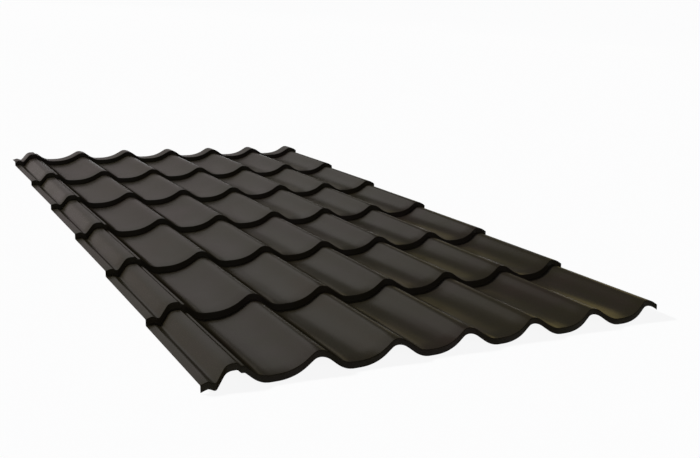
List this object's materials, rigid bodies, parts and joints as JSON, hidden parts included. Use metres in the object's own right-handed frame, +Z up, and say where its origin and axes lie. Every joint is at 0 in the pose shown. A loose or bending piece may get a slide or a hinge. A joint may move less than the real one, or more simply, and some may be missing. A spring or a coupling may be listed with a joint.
{
  "type": "metal roof tile sheet",
  "caption": "Pressed metal roofing sheet shaped like rows of overlapping wavy tiles, with a grooved side lap, for screwing down onto battens.",
  "frame": {"origin": "centre of the bounding box, on the floor plane the sheet lies on", "axes": "+Z up; +Y up the roof slope, from the front edge to the back edge; +X across the waves, from the grooved lap to the plain edge"},
  "size_m": [1.1994, 2.183, 0.039],
  "materials": {
    "coated_steel": "satin dark brown-grey coil coating"
  },
  "bodies": {
    "root": {"tile_sheet": "coated_steel"}
  },
  "joints": []
}
